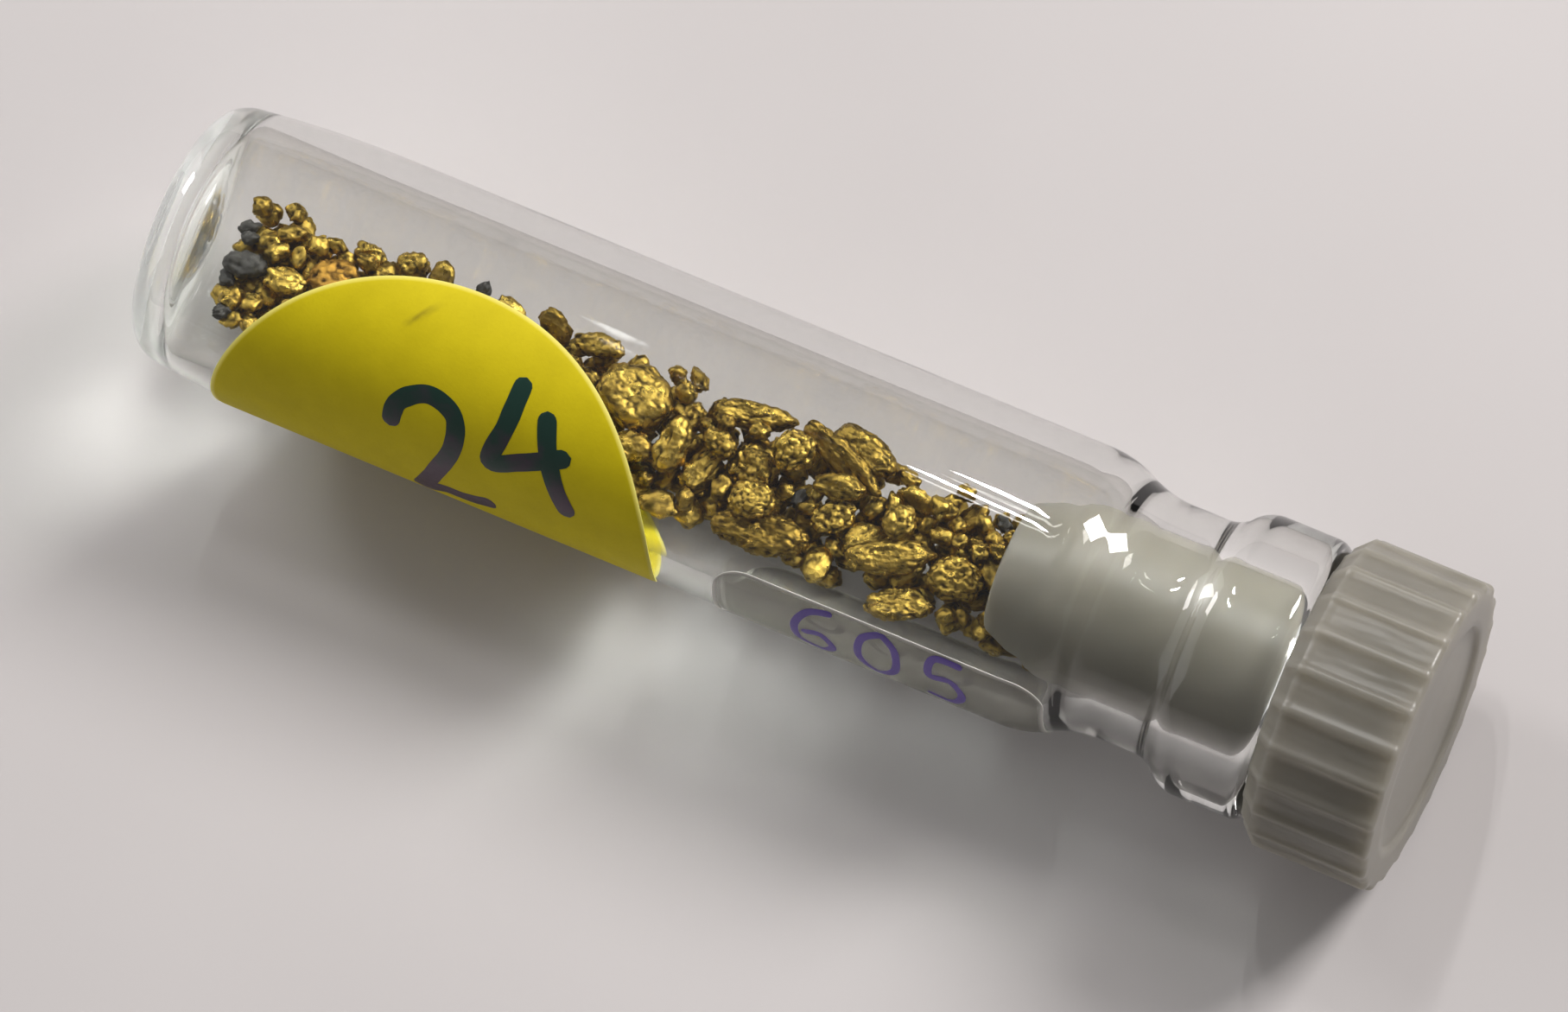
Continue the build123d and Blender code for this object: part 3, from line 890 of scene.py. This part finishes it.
def nugget(middle, corners, normals, distances, steps, seed, smooth, spread):
    """A worn, crumpled piece that fills the slab it stands for.

    Rays from the slab's middle end on a rounded form of it, whose faces lie a spread outside the
    slab's own. The higher the power, the tighter its edges are rounded.
    """
    power = 12.0
    directions, faces = sphere(steps)
    centred = corners - corners.mean(0)
    _, lengths, axes = np.linalg.svd(centred, full_matrices=False)
    reach = np.abs(centred @ axes.T).max(0)
    rays = (directions * reach) @ axes
    rays /= np.linalg.norm(rays, axis=1)[:, None]
    distances = distances + spread
    share = np.maximum(rays @ normals.T, 0) / distances
    total = (share**power).sum(1)
    radii = total ** (-1 / power)
    blend = (share ** (power - 1)) @ (normals / distances[:, None])
    blend /= np.linalg.norm(blend, axis=1)[:, None]
    points = rays * radii[:, None]
    thickness = 2 * reach.min()
    moves, depths = crumple(points + middle, thickness, seed, smooth)
    points = points + blend * moves[:, None] + middle
    return keep_inside_glass(points), faces, depths


def build_gold(materials):
    """Every piece of gold and stone, in place of its CAD node."""
    random.seed(5)
    noise.seed_set(5)
    for node in sorted(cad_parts):
        if node in DRESSED:
            continue
        loose = node in LOOSE
        steps = 3 if loose else 5 if node in BIG else 4
        spread = 0.13 if loose else 0.1
        kind = SLOTS.get(node, "gold")
        points, faces, depths, tints = [], [], [], []
        count = 0
        for middle, corners, normals, distances in separate_pieces(node):
            seed = random.uniform(0, 50)
            shaped, mesh_faces, creases = nugget(
                middle, corners, normals, distances, steps, seed, node in SMOOTH, spread
            )
            points.append(shaped)
            faces.append(mesh_faces + count)
            depths.append(creases)
            tints.append(np.full(len(shaped), random.random()))
            count += len(shaped)
        points = np.concatenate(points).tolist()
        faces = np.concatenate(faces).tolist()
        piece = make_object("worn_" + node, points, faces, "vial", kind, [node])
        # How deep a point lies in a crease, which the material uses to paint shade into the hollows.
        store(piece, "depth", np.concatenate(depths).astype(np.float32))
        store(piece, "tint", np.concatenate(tints).astype(np.float32))
        piece.data.materials.append(materials[kind])


# ---- camera, light and floor -----------------------------------------------------------------


def image_axes():
    """The picture's right and up directions, and the one square to the vial that falls in it."""
    along = Vector((1, 0, 0))
    along = (along - along.dot(TO_CAMERA) * TO_CAMERA).normalized()
    down = along.cross(TO_CAMERA)
    turn = math.radians(TILT)
    right = along * math.cos(turn) - down * math.sin(turn)
    below = along * math.sin(turn) + down * math.cos(turn)
    return right, -below, down


def build_camera():
    """The camera at the photograph's angle."""
    right, up, down = image_axes()
    data = bpy.data.cameras.new("camera")
    data.sensor_width = 36
    data.lens = data.sensor_width * DISTANCE / FIELD
    data.clip_start = 0.01
    data.clip_end = 10
    camera = bpy.data.objects.new("camera", data)
    bpy.context.scene.collection.objects.link(camera)
    aim = Vector((BASE_X + CENTRE[0], 0, AXIS_Z)) + down * CENTRE[1]
    turn = Matrix((right, up, TO_CAMERA)).transposed().to_4x4()
    camera.matrix_world = Matrix.Translation((aim + TO_CAMERA * DISTANCE) * MM) @ turn
    bpy.context.scene.camera = camera


def softbox(name, towards, distance, size, power, colour):
    """An area light at a direction and distance from the vial, in millimetres, facing it."""
    data = bpy.data.lights.new(name, "AREA")
    data.shape = "RECTANGLE"
    data.size, data.size_y = size[0] * MM, size[1] * MM
    data.energy = power
    data.color = colour
    lamp = bpy.data.objects.new(name, data)
    bpy.context.scene.collection.objects.link(lamp)
    direction = Vector(towards).normalized()
    lamp.location = (direction * distance + Vector((0, 0, AXIS_Z))) * MM
    lamp.rotation_euler = direction.to_track_quat("Z", "Y").to_euler()
    lamp.visible_camera = False


def build_studio():
    """Soft lights, a dim even sky and a plain floor."""
    scene = bpy.context.scene
    scene.view_settings.view_transform = "Standard"
    world = bpy.data.worlds.new("studio")
    world.use_nodes = True
    world.node_tree.nodes["Background"].inputs["Color"].default_value = (*SKY, 1)
    world.node_tree.nodes["Background"].inputs["Strength"].default_value = SKY_STRENGTH
    scene.world = world
    for settings in SOFTBOXES:
        softbox(*settings)
    mesh = bpy.data.meshes.new("floor")
    h = FLOOR_HALF
    mesh.from_pydata([(-h, -h, 0), (h, -h, 0), (h, h, 0), (-h, h, 0)], [], [(0, 1, 2, 3)])
    floor = bpy.data.objects.new("floor", mesh)
    floor.data.materials.append(floor_material())
    scene.collection.objects.link(floor)


build_camera()
build_studio()
build_glass()
build_stopper()
build_dot()
build_tape()
write(
    "dot_number",
    [TWO, FOUR],
    [(0.1, 2.3), (3.8, 4.4)],
    turn=TILT,
    width=0.78,
    place=dot_point,
    lift=DOT_THICK - 0.04,
    slot="dot_paper",
    material=marker_material("marker_ink", (0.004, 0.032, 0.022), (0.05, 0.02, 0.045)),
)
write(
    "tape_number",
    [SIX, NOUGHT, FIVE],
    [(-2.6, 2.7), (0.1, 2.75), (2.9, 2.7)],
    turn=0,
    width=0.34,
    place=tape_point,
    lift=TAPE_THICK - 0.01,
    slot="tape",
    material=marker_material("purple_ink", (0.06, 0.028, 0.26), (0.1, 0.05, 0.34)),
)
# The last colour of each gold below is shade painted into its hollows.
clean_gold = gold_material(
    "placer_gold",
    bright=(0.68, 0.475, 0.095),
    deep=(0.27, 0.175, 0.032),
    painted_crevice_shade=(0.022, 0.012, 0.004),
    rough=0.2,
)
stained_gold = gold_material(
    "stained_gold",
    bright=(0.4, 0.22, 0.03),
    deep=(0.3, 0.17, 0.04),
    painted_crevice_shade=(0.04, 0.02, 0.01),
    rough=0.4,
)
dark_stone = stone_material("dark_stone", (0.008, 0.0075, 0.0065), (0.045, 0.042, 0.037))
build_gold({"gold": clean_gold, "stained_gold": stained_gold, "dark_stone": dark_stone})
